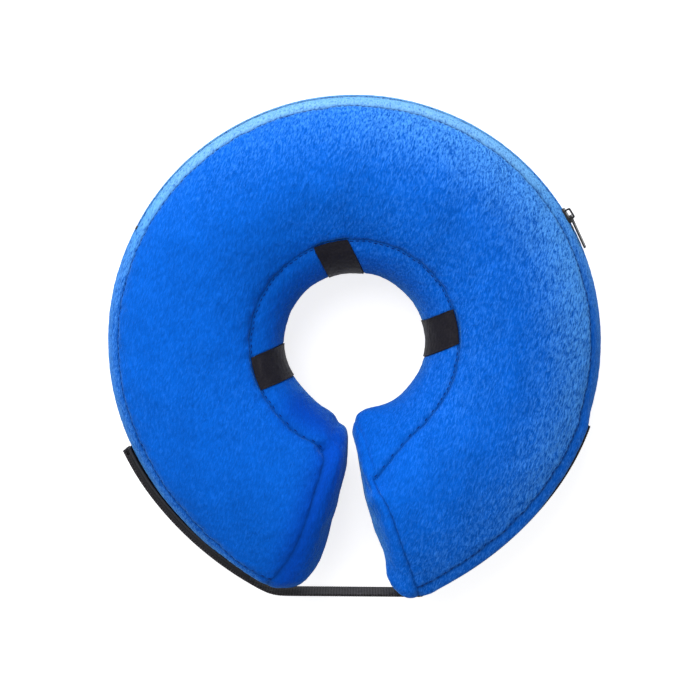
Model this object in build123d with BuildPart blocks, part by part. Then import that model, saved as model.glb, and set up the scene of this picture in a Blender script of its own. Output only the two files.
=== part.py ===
from build123d import *

import os
from math import cos, degrees, radians, sin, sqrt

# Inflatable recovery collar for a pet, lying on its back panel. Millimetres and degrees.
# Z is the axis of the neck hole, +Y points at the crown and the slit opens towards -Y.
# Angles called "turn" are measured from the crown, to the left (side 1) or the right (side -1).

# ---- Ring section: radius from the neck axis, height above the resting plane ----
neck_radius = 43.0
rim_radius = 150.0
body_height = 80.0
neck_band_depth = 18.0  # from the neck opening to the inner seam
inner_seam_radius = neck_radius + neck_band_depth
inner_seam_drop = 10.0  # seam below the top of the front panel
rim_bulge = 7.0  # from the outer seam to the rim
outer_seam_radius = rim_radius - rim_bulge
outer_seam_drop = 15.0
panel_crown_inset = 2.0  # the panel is highest this much inside its middle
panel_crown_radius = (inner_seam_radius + outer_seam_radius) / 2 - panel_crown_inset
rest_flat_depth = 0.5  # how deep the back panel is pressed flat
plush_thickness = 2.0
section_centre_shift = 1.5  # the end wall closes this much outside the section's middle

# ---- Plan: where the ring bends, flares and ends ----
bend_turn = 70.0  # the two bending planes, from the crown
bend_gap_turn = 0.3
bend_axis_clearance = 2.0  # bending axis outside the rim
flare_turn = 127.0  # the lobes flare outwards from here
flare_shift = 50.0  # how far the flare's own centre is moved back
lobe_sweep = {"left": 22.0, "right": 26.5}  # turn of the flare up to the end seam
end_fan_angle = {"left": 15.0, "right": 12.0}  # the end wall swells past its seam like a fan
end_fan_radius = {"left": 10.0, "right": 30.0}  # radius of the fan's upright axis
end_round_share = 0.6
end_round_inset = 3.0
end_top_inset = 13.0

# ---- Air bladder ----
bladder_wall = 0.5
bladder_top_gap = 0.5  # between the bladder and the inside of the cover at the crown of the panel
weld_inner_clearance = 4.0  # from the neck opening to the inner weld
weld_outer_clearance = 6.0  # from the outer weld to the rim
weld_inner_radius = neck_radius + weld_inner_clearance
weld_outer_radius = rim_radius - weld_outer_clearance
weld_flange = 3.0
weld_flange_inner = 1.5
weld_flange_thickness = 1.0
weld_overlap = 1.0  # how far a flange runs into the lens

# ---- Webbing loops at the neck ----
loop_width = 20.0
loop_thickness = 1.2
loop_gap = 0.3
loop_half_turn = 40.0  # turn of the band each loop is cut from
loop_polar_and_skew = {"top": (101.0, 16.0), "left": (196.0, 5.0), "right": (7.5, 17.5)}

# ---- Zipper round the rim ----
zipper_drop = 12.0  # below the outer seam
zipper_height = body_height - outer_seam_drop - zipper_drop
zipper_slot = 4.0  # between the two plush edges
zipper_post_slot = 0.9  # between the two coils
coil_depth = 0.3  # below the plush surface
coil_thickness = 1.5
tape_depth = 2.05
tape_thickness = 0.5
tape_width = 9.0
tape_under_coil = 0.8
zipper_start_polar = 27.5
zipper_end_polar = 152.5
stop_length = 2.4
stop_width = 3.4
stop_thickness = 0.8
stop_corner = 0.4
stop_lift = 0.05

slider_polar = 31.0
slider_length = 10.0
slider_width = 6.4
slider_plate = 1.2
slider_corner = 1.6
slider_top_gap = 0.3
slider_bottom_gap = 0.35
slider_post_length = 2.0
slider_post_clearance = 0.2
bail_length = 7.0
bail_width = 1.8
bail_height = 3.2
bail_wall = 1.0
bail_corner = 1.2
bail_window_corner = 0.8
bail_sink = 0.2  # how far the bail runs into the slider's plate

tab_length = 21.7
tab_width = 5.0
tab_thickness = 1.0
tab_corner = 0.45
tab_window_corner = 0.4
tab_window = 5.0
tab_window_side_clearance = 0.4
tab_tilt = 6.0
tab_pin_offset = 1.2

# ---- Strap ----
strap_width = 25.0
strap_thickness = 1.5
patch_thickness = 1.5
patch_gap = 0.3
strap_start_turn = {"left": 115.0, "right": 109.5}
strap_end_gap = 0.4
strap_anchor_overrun = 3.0  # turn past the end seam
strap_tail_overrun = 5.0
hook_patch_setback_turn = 1.5

# ---- Valve ----
valve_tilt = 27.0
valve_base_radius = 6.0
valve_base_thickness = 1.2
valve_base_overlap = 0.1  # the base reaches this much below its seat before it is cut to the bladder
valve_stem_radius = 3.2
valve_bore_radius = 2.2
valve_stem_length = 14.0
valve_hole_clearance = 0.1
plug_clearance = 0.2
plug_length = 6.0
plug_head_radius = 3.5
plug_head_thickness = 1.2

# ---- Worked out from the sizes above ----
SIDES = {"left": 1, "right": -1}
mid_height = body_height / 2
section_centre = ((neck_radius + rim_radius) / 2 + section_centre_shift, mid_height)
inner_front = (inner_seam_radius, body_height - inner_seam_drop)
outer_front = (outer_seam_radius, body_height - outer_seam_drop)
outer_back = (outer_seam_radius, outer_seam_drop)
inner_back = (inner_seam_radius, inner_seam_drop)
section_reach = 3 * rim_radius

rim_half_chord = mid_height - outer_seam_drop
rim_sagitta = rim_radius - outer_seam_radius
rim_arc_radius = (rim_half_chord**2 + rim_sagitta**2) / (2 * rim_sagitta)
rim_arc_centre_radius = rim_radius - rim_arc_radius


def rim_point(height):
    """Point of the rim's section at a height."""
    drop = height - mid_height
    return (rim_arc_centre_radius + sqrt(rim_arc_radius**2 - drop**2), height)


zipper_point = rim_point(zipper_height)
zipper_lean = (zipper_height - mid_height) / rim_arc_radius  # sine of the surface's lean
slot_front = rim_point(zipper_height + zipper_slot / 2)
slot_back = rim_point(zipper_height - zipper_slot / 2)

weld_mid_radius = (weld_inner_radius + weld_outer_radius) / 2
bladder_half_chord = (weld_outer_radius - weld_inner_radius) / 2
bladder_bulge = mid_height - plush_thickness - bladder_top_gap
bladder_arc_radius = (bladder_half_chord**2 + bladder_bulge**2) / (2 * bladder_bulge)
bladder_arc_height = mid_height + bladder_bulge - bladder_arc_radius


def radial(turn, side):
    """Unit vector that points away from the neck axis at a turn from the crown."""
    angle = radians(90 + side * turn)
    return Vector(cos(angle), sin(angle), 0)


def flare_centre(side):
    """Centre that the flared end of a lobe turns about."""
    return radial(flare_turn, side) * -flare_shift


def section_plane(turn, side=1):
    """Plane of the ring's section at a turn, with X outwards and Y up."""
    outward = radial(turn, side)
    origin = Vector(0, 0, 0)
    if turn > flare_turn:
        origin = flare_centre(side) + outward * flare_shift
    return Plane(origin=origin, x_dir=outward, z_dir=outward.cross(Vector(0, 0, 1)))


def end_plane(side_name, share):
    """Plane of the end wall's section at a share of its swell, from 0 at the seam to 1."""
    side = SIDES[side_name]
    seam = section_plane(flare_turn + lobe_sweep[side_name], side)
    fan_axis = seam.origin + seam.x_dir * end_fan_radius[side_name]
    outward = seam.x_dir.rotate(Axis.Z, side * share * end_fan_angle[side_name])
    origin = fan_axis - outward * end_fan_radius[side_name]
    return Plane(origin=origin, x_dir=outward, z_dir=outward.cross(Vector(0, 0, 1)))


def ring_face(moved_out=0.0):
    """Face of the whole section: four bulging sides that meet at the four seams."""
    with BuildSketch() as face:
        with BuildLine():
            ThreePointArc(inner_front, (panel_crown_radius, body_height), outer_front)
            ThreePointArc(outer_front, (rim_radius, mid_height), outer_back)
            ThreePointArc(outer_back, (panel_crown_radius, -rest_flat_depth), inner_back)
            ThreePointArc(inner_back, (neck_radius, mid_height), inner_front)
        make_face()
        if moved_out != 0:
            offset(amount=moved_out, kind=Kind.INTERSECTION)
    return face.sketch


def band(first, second, outer=0.0, inner=-plush_thickness):
    """Layer of the section between two offsets from its surface, from one seam to the next."""
    centre = Vector(*section_centre)
    rays = [centre + (Vector(*point) - centre).normalized() * section_reach for point in (first, second)]
    with BuildSketch() as layer:
        add(ring_face(outer))
        add(ring_face(inner), mode=Mode.SUBTRACT)
        with BuildLine():
            Polyline(centre, rays[0], rays[1], close=True)
        make_face(mode=Mode.INTERSECT)
        with Locations((0, -section_reach / 2)):
            Rectangle(3 * section_reach, section_reach, mode=Mode.SUBTRACT)
    return layer.sketch


def rim_strip(outer, inner):
    """Flat strip that stands on edge round the rim, between two offsets from the rim."""
    with BuildSketch() as strip:
        with Locations(((2 * rim_radius + outer + inner) / 2, mid_height)):
            Rectangle(abs(outer - inner), strap_width)
    return strip.sketch


def turn_crown(profile, first_turn=-bend_turn, last_turn=bend_turn):
    """Carry a profile round the crown between two turns, left turns being positive."""
    with BuildSketch(section_plane(first_turn)) as placed:
        add(profile)
    revolve(placed.sketch, axis=Axis.Z, revolution_arc=last_turn - first_turn)


def turn_arm(profile, side_name, first_turn=bend_turn + bend_gap_turn, last_turn=None):
    """Carry a profile round one arm: about the neck axis, then about the flare's centre."""
    side = SIDES[side_name]
    if last_turn is None:
        last_turn = flare_turn + lobe_sweep[side_name]
    with BuildSketch(section_plane(first_turn, side)) as placed:
        add(profile)
    revolve(placed.sketch, axis=Axis.Z, revolution_arc=side * (flare_turn - first_turn))
    with BuildSketch(section_plane(flare_turn, side)) as placed:
        add(profile)
    flare_axis = Axis(flare_centre(side), (0, 0, 1))
    revolve(placed.sketch, axis=flare_axis, revolution_arc=side * (last_turn - flare_turn))


def finish(piece, name):
    """Label a finished piece and write its file."""
    piece.part.label = name
    export_step(piece.part, f"parts/{name}.step")


front_profile = band(inner_front, outer_front)
back_profile = band(outer_back, inner_back)
neck_profile = band(inner_back, inner_front)
rim_profile = band(outer_front, outer_back)
rim_front_profile = band(outer_front, slot_front)
rim_back_zipped_profile = band(slot_back, outer_back)
rim_back_plain_profile = band(slot_front, outer_back)


def bladder_lens(wall=0.0):
    """Face of the bladder's section: two arcs from weld to weld, drawn in by the wall."""
    arc_radius = bladder_arc_radius - wall
    reach = sqrt(arc_radius**2 - (mid_height - bladder_arc_height) ** 2)
    top = bladder_arc_height + arc_radius
    left = (weld_mid_radius - reach, mid_height)
    right = (weld_mid_radius + reach, mid_height)
    with BuildSketch() as lens:
        with BuildLine():
            ThreePointArc(left, (weld_mid_radius, top), right)
            ThreePointArc(right, (weld_mid_radius, body_height - top), left)
        make_face()
    return lens.sketch


# Two welded sheets: the lens-shaped wall and the flat flange at each weld.
with BuildSketch() as bladder_section:
    add(bladder_lens())
    with Locations((weld_outer_radius + (weld_flange - weld_overlap) / 2, mid_height)):
        Rectangle(weld_flange + weld_overlap, weld_flange_thickness)
    with Locations((weld_inner_radius - (weld_flange_inner - weld_overlap) / 2, mid_height)):
        Rectangle(weld_flange_inner + weld_overlap, weld_flange_thickness)
    add(bladder_lens(bladder_wall), mode=Mode.SUBTRACT)
bladder_profile = bladder_section.sketch

os.makedirs("parts", exist_ok=True)

# ---- Crown: the stretch of the ring opposite the slit ----
CROWN_PANELS = {
    "front_panel_crown": front_profile,
    "back_panel_crown": back_profile,
    "neck_band_crown": neck_profile,
    "rim_front_crown": rim_front_profile,
}
for name, profile in CROWN_PANELS.items():
    with BuildPart() as crown_panel:
        turn_crown(profile)
    finish(crown_panel, name)

zipper_first_turn = zipper_start_polar - 90
zipper_last_turn = zipper_end_polar - 90
with BuildPart() as rim_back_crown:
    turn_crown(rim_back_plain_profile, -bend_turn, zipper_first_turn)
    turn_crown(rim_back_zipped_profile, zipper_first_turn, zipper_last_turn)
    turn_crown(rim_back_plain_profile, zipper_last_turn, bend_turn)
finish(rim_back_crown, "rim_back_crown")

# ---- Valve frame: it stands square on the bladder's outer shoulder, in the crown's middle ----
valve_seat = (
    weld_mid_radius + bladder_arc_radius * cos(radians(valve_tilt)),
    bladder_arc_height + bladder_arc_radius * sin(radians(valve_tilt)),
)
valve_outward = Vector(0, cos(radians(valve_tilt)), sin(radians(valve_tilt)))
valve_plane = Plane(origin=(0, *valve_seat), x_dir=(1, 0, 0), z_dir=valve_outward)
valve_base_sink = valve_base_radius**2 / (2 * bladder_arc_radius) + valve_base_overlap

with BuildPart() as valve_hole:
    with BuildSketch(valve_plane.offset(-2 * bladder_wall)):
        Circle(valve_stem_radius + valve_hole_clearance)
    extrude(amount=4 * bladder_wall)

with BuildPart() as bladder_crown:
    turn_crown(bladder_profile)
    add(valve_hole.part, mode=Mode.SUBTRACT)
finish(bladder_crown, "bladder_crown")

with BuildPart() as bladder_form:
    turn_crown(bladder_lens())
    add(valve_hole.part, mode=Mode.SUBTRACT)

with BuildPart() as valve_base:
    with BuildSketch(valve_plane.offset(-valve_base_sink)):
        Circle(valve_base_radius)
        Circle(valve_bore_radius, mode=Mode.SUBTRACT)
    extrude(amount=valve_base_sink + valve_base_thickness)
    add(bladder_form.part, mode=Mode.SUBTRACT)
finish(valve_base, "valve_base")

with BuildPart() as valve_stem:
    with BuildSketch(valve_plane.offset(-valve_base_sink)):
        Circle(valve_stem_radius)
        Circle(valve_bore_radius, mode=Mode.SUBTRACT)
    extrude(amount=-valve_stem_length)
finish(valve_stem, "valve_stem")

with BuildPart() as valve_plug:
    with BuildSketch(valve_plane.offset(valve_base_thickness)):
        Circle(plug_head_radius)
    extrude(amount=plug_head_thickness)
    fillet(valve_plug.edges().sort_by(Axis(valve_plane.origin, valve_outward))[-1], plug_head_thickness / 3)
    with BuildSketch(valve_plane.offset(valve_base_thickness)):
        Circle(valve_bore_radius - plug_clearance)
    extrude(amount=-plug_length)
finish(valve_plug, "valve_plug")

# ---- Zipper ----
post_slot_front = rim_point(zipper_height + zipper_post_slot / 2)
post_slot_back = rim_point(zipper_height - zipper_post_slot / 2)
tape_front_inner = rim_point(zipper_height + zipper_slot / 2 - tape_under_coil)
tape_back_inner = rim_point(zipper_height - zipper_slot / 2 + tape_under_coil)
tape_front_outer = rim_point(zipper_height + tape_width)
tape_back_outer = rim_point(zipper_height - tape_width)
coil_layer = (-coil_depth, -coil_depth - coil_thickness)
tape_layer = (-tape_depth, -tape_depth - tape_thickness)


ZIPPER_HALVES = {
    "zipper_half_front": (
        band(slot_front, post_slot_front, *coil_layer),
        band(slot_front, tape_front_inner, -coil_depth, tape_layer[1]),
        band(tape_front_outer, tape_front_inner, *tape_layer),
    ),
    "zipper_half_back": (
        band(post_slot_back, slot_back, *coil_layer),
        band(tape_back_inner, slot_back, -coil_depth, tape_layer[1]),
        band(tape_back_inner, tape_back_outer, *tape_layer),
    ),
}
for name, profiles in ZIPPER_HALVES.items():
    with BuildPart() as zipper_half:
        for profile in profiles:
            turn_crown(profile, zipper_first_turn, zipper_last_turn)
    finish(zipper_half, name)


def zipper_plane(polar):
    """Plane on the plush surface at the zipper: X along the rim, Y up and Z straight out."""
    angle = radians(polar)
    level = sqrt(1 - zipper_lean**2)
    return Plane(
        origin=(zipper_point[0] * cos(angle), zipper_point[0] * sin(angle), zipper_point[1]),
        x_dir=(-sin(angle), cos(angle), 0),
        z_dir=(level * cos(angle), level * sin(angle), zipper_lean),
    )


stop_turn = degrees(stop_length / 2 / zipper_point[0])
with BuildPart() as zipper_stops:
    for stop_polar in (zipper_start_polar + stop_turn, zipper_end_polar - stop_turn):
        with BuildSketch(zipper_plane(stop_polar).offset(-coil_depth + stop_lift)):
            RectangleRounded(stop_length, stop_width, stop_corner)
        extrude(amount=stop_thickness)
finish(zipper_stops, "zipper_stops")

slider_plane = zipper_plane(slider_polar)
slider_bottom = -tape_depth - tape_thickness - slider_bottom_gap
bail_base = slider_top_gap + slider_plate
with BuildPart() as zipper_slider:
    with BuildSketch(slider_plane.offset(slider_top_gap)):
        RectangleRounded(slider_length, slider_width, slider_corner)
    extrude(amount=slider_plate)
    with BuildSketch(slider_plane.offset(slider_bottom)):
        RectangleRounded(slider_length, slider_width, slider_corner)
    extrude(amount=-slider_plate)
    with BuildSketch(slider_plane.offset(slider_bottom)):
        Rectangle(slider_post_length, zipper_post_slot - 2 * slider_post_clearance)
    extrude(amount=slider_top_gap - slider_bottom)
    bail_plane = Plane(
        origin=slider_plane.origin, x_dir=slider_plane.x_dir, z_dir=-slider_plane.y_dir
    ).offset(-bail_width / 2)
    with BuildSketch(bail_plane):
        with Locations((0, bail_base + bail_height / 2 - bail_sink)):
            RectangleRounded(bail_length, bail_height + 2 * bail_sink, bail_corner)
        with Locations((0, bail_base + (bail_height - bail_wall) / 2)):
            RectangleRounded(
                bail_length - 2 * bail_wall, bail_height - bail_wall, bail_window_corner, mode=Mode.SUBTRACT
            )
    extrude(amount=bail_width)
finish(zipper_slider, "zipper_slider")

# The pull tab is a plate with a window. The bar beyond the window runs through the slider's bail.
tab_window_width = bail_width + 2 * tab_window_side_clearance
tab_pin_height = bail_base + (bail_height - bail_wall) / 2
tab_pin = (
    slider_plane.origin
    - slider_plane.x_dir * tab_pin_offset
    + slider_plane.z_dir * tab_pin_height
)
tab_along = -slider_plane.x_dir * cos(radians(tab_tilt)) - slider_plane.z_dir * sin(radians(tab_tilt))
tab_plane = Plane(origin=tab_pin, x_dir=tab_along, z_dir=tab_along.cross(slider_plane.y_dir))
with BuildPart() as pull_tab:
    with BuildSketch(tab_plane.offset(-tab_thickness / 2)):
        with Locations(((tab_length - tab_thickness) / 2, 0)):
            RectangleRounded(tab_length, tab_width, tab_corner)
        with Locations((tab_thickness / 2 + tab_window / 2, 0)):
            RectangleRounded(tab_window, tab_window_width, tab_window_corner, mode=Mode.SUBTRACT)
    extrude(amount=tab_thickness)
finish(pull_tab, "pull_tab")

# ---- Arms: the two stretches between the bending planes and the slit ----
ARM_PANELS = {
    "front_panel": front_profile,
    "back_panel": back_profile,
    "neck_band": neck_profile,
    "rim": rim_profile,
}
for side_name, side in SIDES.items():
    for stem_name, profile in ARM_PANELS.items():
        with BuildPart() as arm_panel:
            turn_arm(profile, side_name)
        finish(arm_panel, f"{stem_name}_{side_name}")

    with BuildPart() as end_wall:
        for wall, mode in ((0.0, Mode.ADD), (plush_thickness, Mode.SUBTRACT)):
            wall_share = degrees(wall / rim_radius) / end_fan_angle[side_name]
            stations = ((0.0, 0.0), (end_round_share, end_round_inset), (1.0 - wall_share, end_top_inset))
            for share, inset in stations:
                with BuildSketch(end_plane(side_name, share)):
                    add(ring_face(-inset - wall))
            loft(mode=mode)
        with BuildSketch(Plane.XY):
            Rectangle(2 * section_reach, 2 * section_reach)
        extrude(amount=-body_height, mode=Mode.SUBTRACT)
    finish(end_wall, f"end_wall_{side_name}")

    with BuildPart() as bladder_arm:
        turn_arm(bladder_profile, side_name)
        with BuildSketch(end_plane(side_name, 0.0)):
            add(bladder_lens())
        closing_turn = degrees(bladder_wall / neck_radius)
        revolve(axis=Axis(flare_centre(side), (0, 0, 1)), revolution_arc=side * closing_turn)
    finish(bladder_arm, f"bladder_{side_name}")

# ---- Neck loops: webbing sewn into the front and back seams, across the neck band ----
for loop_name, (polar, skew) in loop_polar_and_skew.items():
    loop_mid_radius = (neck_radius + inner_seam_radius) / 2
    loop_reach = 2 * (inner_seam_radius - neck_radius) + loop_width
    with BuildPart() as neck_loop:
        with BuildSketch(section_plane(polar - 90 - loop_half_turn)):
            add(band(inner_back, inner_front, loop_gap + loop_thickness, loop_gap))
        revolve(axis=Axis.Z, revolution_arc=2 * loop_half_turn)
        with BuildSketch(Plane.XY):
            with Locations(Vector(loop_mid_radius, 0, 0).rotate(Axis.Z, polar)):
                Rectangle(loop_reach, loop_width, rotation=polar + skew)
        extrude(amount=body_height, mode=Mode.INTERSECT)
    finish(neck_loop, f"neck_loop_{loop_name}")

# ---- Strap ----
anchor_inner = patch_gap
anchor_outer = patch_gap + strap_thickness
hook_inner = patch_gap + patch_thickness + patch_gap
hook_outer = hook_inner + patch_thickness
tail_outer = hook_outer + strap_thickness
left_end_turn = flare_turn + lobe_sweep["left"]
right_end_turn = flare_turn + lobe_sweep["right"]


loop_patch_profile = rim_strip(patch_gap, patch_gap + patch_thickness)
anchor_profile = rim_strip(anchor_inner, anchor_outer)
hook_profile = rim_strip(hook_inner, hook_outer)
tail_profile = rim_strip(hook_outer, tail_outer)

with BuildPart() as loop_patch:
    turn_arm(loop_patch_profile, "left", strap_start_turn["left"])
finish(loop_patch, "loop_patch")

with BuildPart() as strap_anchor:
    anchor_end_turn = right_end_turn + strap_anchor_overrun
    turn_arm(anchor_profile, "right", strap_start_turn["right"], anchor_end_turn)
finish(strap_anchor, "strap_anchor")

with BuildPart() as hook_patch:
    turn_arm(hook_profile, "left", strap_start_turn["left"] + hook_patch_setback_turn)
finish(hook_patch, "hook_patch")


def lobe_point(turn, side, beyond_rim):
    """Point in plan on the flared end of a lobe, at a distance outside its rim."""
    return flare_centre(side) + radial(turn, side) * (flare_shift + rim_radius + beyond_rim)


tail_turn = left_end_turn + strap_tail_overrun
with BuildPart() as strap_tail:
    turn_arm(tail_profile, "left", strap_start_turn["left"], tail_turn)
    with BuildSketch(Plane.XY.offset(mid_height - strap_width / 2)):
        left_inner = lobe_point(tail_turn, 1, hook_outer)
        left_outer = lobe_point(tail_turn, 1, tail_outer)
        gap_left = Vector(-strap_end_gap, 0, 0)
        right_inner = lobe_point(anchor_end_turn, -1, anchor_inner) + gap_left
        right_outer = lobe_point(anchor_end_turn, -1, anchor_outer) + gap_left
        with BuildLine():
            Polyline(left_inner, left_outer, right_outer, right_inner, close=True)
        make_face()
    extrude(amount=strap_width)
finish(strap_tail, "strap_tail")

# The joints' axes, for the record: the strap peels about its outer face, so that its ends open apart.
bend_axis_radius = rim_radius + bend_axis_clearance
for side_name, side in SIDES.items():
    bend_point = radial(bend_turn, side) * bend_axis_radius
    print(f"{side_name}_arm_spread at {bend_point.X:.3f}, {bend_point.Y:.3f}, {mid_height}")
peel_point = lobe_point(anchor_end_turn, -1, anchor_outer) + gap_left * 0.5
print(f"strap_peel at {peel_point.X:.3f}, {peel_point.Y:.3f}, {mid_height}")
print("pull_tab_swing at", tab_pin, "along", slider_plane.y_dir)
print("valve_plug_pull at", valve_plane.origin, "along", valve_outward)
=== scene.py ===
"""Dresses the inflatable recovery collar: plush cover, webbing, zipper, strap, bladder and stage."""
import math

import bpy
import numpy as np
from mathutils import Matrix, Vector


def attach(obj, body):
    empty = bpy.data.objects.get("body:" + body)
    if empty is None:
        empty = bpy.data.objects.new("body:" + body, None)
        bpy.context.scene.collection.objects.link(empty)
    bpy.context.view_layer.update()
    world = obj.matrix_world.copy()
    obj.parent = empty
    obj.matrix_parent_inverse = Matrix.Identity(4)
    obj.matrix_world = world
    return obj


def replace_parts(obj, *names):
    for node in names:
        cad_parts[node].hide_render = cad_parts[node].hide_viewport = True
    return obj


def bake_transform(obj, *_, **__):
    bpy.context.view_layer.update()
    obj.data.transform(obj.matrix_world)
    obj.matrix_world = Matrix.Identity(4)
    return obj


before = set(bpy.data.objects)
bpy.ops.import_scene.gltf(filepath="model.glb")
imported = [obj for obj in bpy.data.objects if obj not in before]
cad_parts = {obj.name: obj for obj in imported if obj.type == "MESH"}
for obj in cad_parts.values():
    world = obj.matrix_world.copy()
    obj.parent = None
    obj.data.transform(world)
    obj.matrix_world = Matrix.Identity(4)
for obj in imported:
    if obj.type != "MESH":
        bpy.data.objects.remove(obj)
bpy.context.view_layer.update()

bl_info = {
    "name": "Recovery Collar Dressing",
    "version": (1, 0, 0),
    "blender": (4, 5, 0),
    "location": "3D View > Sidebar > Collar",
    "description": "Builds the plush cover, webbing, zipper and strap of an inflatable recovery collar",
    "category": "Object",
}

MM = 0.001

# ---- The ring's section, in millimetres from the neck axis and above the floor ----
NECK_RADIUS = 43.0
RIM_RADIUS = 150.0
HEIGHT = 80.0
INNER_SEAM = (61.0, 10.0)  # radius, and drop below the panel's top
OUTER_SEAM = (143.0, 15.0)
PANEL_CROWN_RADIUS = 100.0
REST_FLAT_DEPTH = 0.5
CLOTH = 2.0
SHEET = CLOTH - 0.1  # the plush is a hair thinner than its place, so that it touches nothing inside

# ---- The ring in plan ----
BEND_TURN = 70.0
FLARE_TURN = 127.0
FLARE_SHIFT = 50.0
# Each lobe's end: turn of its end seam, swell of its wall, squareness, and how its seam bows over the swell.
LOBES = {
    "left": {
        "sign": 1, "end": 149.0, "fan": 15.0, "fan_radius": 10.0, "square": 4.2, "edge": (0.0, 0.28, 0.34)},
    "right": {
        "sign": -1, "end": 153.5, "fan": 12.0, "fan_radius": 30.0, "square": 3.4, "edge": (0.05, 0.33, 0.12)},
}

# ---- The cloth ----
# Places where it stands out or is drawn in: x, y, z, radius and height.
HUMPS = {
    "left": (
        (-5.0, -57.0, 40.0, 13.0, -1.2), (-7.0, -79.0, 40.0, 18.0, 3.6), (-12.0, -102.0, 42.0, 20.0, 2.0),
        (-14.0, -43.0, 40.0, 7.5, 2.0), (-21.0, -126.0, 42.0, 17.0, 4.0), (-68.0, -136.0, 70.0, 14.0, 5.0),
        (-89.0, -119.0, 68.0, 20.0, 2.6), (-113.0, -95.0, 68.0, 18.0, 1.6), (-18.5, -66.5, 70.0, 5.5, -4.0),
        (-11.0, -62.0, 63.0, 4.5, -1.6), (-36.0, -146.0, 50.0, 14.0, 0.5), (-54.0, -145.0, 60.0, 10.0, 4.5),
    ),
    "right": (
        (8.0, -47.0, 40.0, 15.0, 8.0), (1.0, -69.0, 40.0, 10.0, -1.6), (5.0, -80.0, 40.0, 24.0, 3.8),
        (13.0, -104.0, 40.0, 12.0, 1.2), (19.0, -135.0, 42.0, 16.0, -1.6), (11.5, -74.5, 69.0, 8.5, -4.4),
        (6.0, -76.0, 60.0, 5.0, -1.4), (13.0, -92.0, 64.0, 7.0, 2.0), (33.0, -150.0, 58.0, 14.0, 2.0),
    ),
}
# Places where it is pulled along: x, y, z, radius, and the pull in plan.
PULLS = {
    "left": (-18.9, -68.0, 70.0, 14.0, 2.0, 4.0),
    "right": (11.5, -72.0, 69.0, 17.0, -0.5, -10.5),
}
PAINTED_SHADE_PATH = ((-32.0, -38.0), (-9.0, -55.0), (-42.0, -148.0))  # painted shade: the path along the left lobe's end where the colour is darkened as if in shadow
PAINTED_SHADE_REACH = 12.0
# Painted sheen, laid into the plush's colour as if lit from the crown and the right: its level, and what it gains
# towards the right and towards the crown.
PAINTED_SHEEN_PANEL = (0.5, 0.75, 0.38)
PAINTED_SHEEN_RIM = (0.3, -0.12, 1.1)
PAINTED_SHEEN_RADII = (92.0, 54.0)  # where the panel's painted sheen starts to grow, and over how much radius
PAINTED_SHEEN_RIM_RADII = (141.0, 3.0)  # the same, for where the rim's painted sheen takes over
PAINTED_SHEEN_RIM_HEIGHTS = (25.0, 40.0)  # and for where it grows up the rim
CAP_PITCH = 1.5  # the end wall's rows crowd towards its edge by this power
LAST_RING = 0.985  # share of the way to the wall's middle, where the last ring lies round the pole
CAP_SCALE = 35.0  # millimetres of cloth to one step of the end wall's own measure
MID = HEIGHT / 2
SECTION_CENTRE = (98.0, MID)
CORE_STATION = 0.95  # outward directions at the end wall are measured from the section's centre here
RING_SCALE = 100.0  # mean radius that a piece's columns are spaced by
# Each cover piece's columns and rows, and the share of the swell and the creases that it shows.
COVER = {
    "front_panel": (250, 121, 1.0), "back_panel": (200, 61, 0.4), "neck_band": (220, 61, 0.8),
    "rim_front": (260, 16, 0.25), "rim_back": (260, 44, 0.12), "end_wall": (240, 56, 0.8),
}
WALL_SWELL = 0.9  # what the end wall's share gains towards its middle
BAND_TUCK = 0.3  # depth of the neck band's last column below the end wall
SEAM_CALM = 0.6  # the same share, for all pieces at their common seams
CALM_REACH = 3.0
DRAW_REACH = 3.2  # how far from a seam the cloth is drawn in, swells again and puckers
SWELL_REACH = 14.0
PUCKER_REACH = 6.0
SEAM_SIDE_REACH = 4.0  # within this reach of a seam the cloth moves straight away from the section's centre
SEAM_SHADE_REACH = 1.1
# Waves of the cloth: their length, the seed of their directions and phases, and how many.
SWELL_WAVES = (58.0, 11, 14)
CRUMPLE_WAVES = (15.0, 12, 14)
PUCKER_WAVES = (7.5, 13, 14)
TUFT_WAVES = (2.6, 14, 20)
TUFT_STRETCH = (1.0, 0.6, 0.8)

# ---- The zipper ----
ZIPPER_HEIGHT = 53.0
ZIPPER_SLOT = 4.0
ZIPPER_TURN = 62.5
ZIPPER_CLOSE = 4.0  # degrees over which the slot closes at the zipper's ends
SLOT_LEAST = 0.05  # half the gap that stays between the rim's two strips past the zipper
TAPE_EDGES = (1.2, 9.0)  # from the zipper's middle to each tape's two edges
TAPE_DEPTH = 1.95
TAPE_THICKNESS = 0.35
TAPE_GRID = (160, 10)
TOOTH_SIZE = (2.0, 0.95, 1.4)
TOOTH_SETBACK = 1.15  # from the zipper's middle and from the rim's face to a tooth's centre
TOOTH_MARGIN = 0.2
COIL_RADIUS = 148.0  # where the teeth are counted

# ---- The neck loops, and the neck band's ends ----
LOOPS = {"top": (101.0, 16.0), "left": (196.0, 5.0), "right": (7.5, 17.5)}  # heading, and skew to it
LOOP_WIDTH = 20.0
LOOP_THICKNESS = 1.2
LOOP_GAP = 0.3
LOOP_DENT = 1.0
LOOP_SOFT = 1.2  # half the width over which the dent's edge rises
LOOP_EASE = 0.25  # share of the webbing's thickness that its edges lose
LOOP_PAST = 0.008  # share of the band's arc that a loop goes on past each seam
LOOP_GRID = (110, 26)
CORNER_DRAW = {"left": 1.4, "right": 3.6}  # how far the band's corner with the end wall is rounded off
CORNER_REACH = 4.0
CORNER_START = 8.0  # the rounding grows over this distance from the band's own seams

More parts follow.
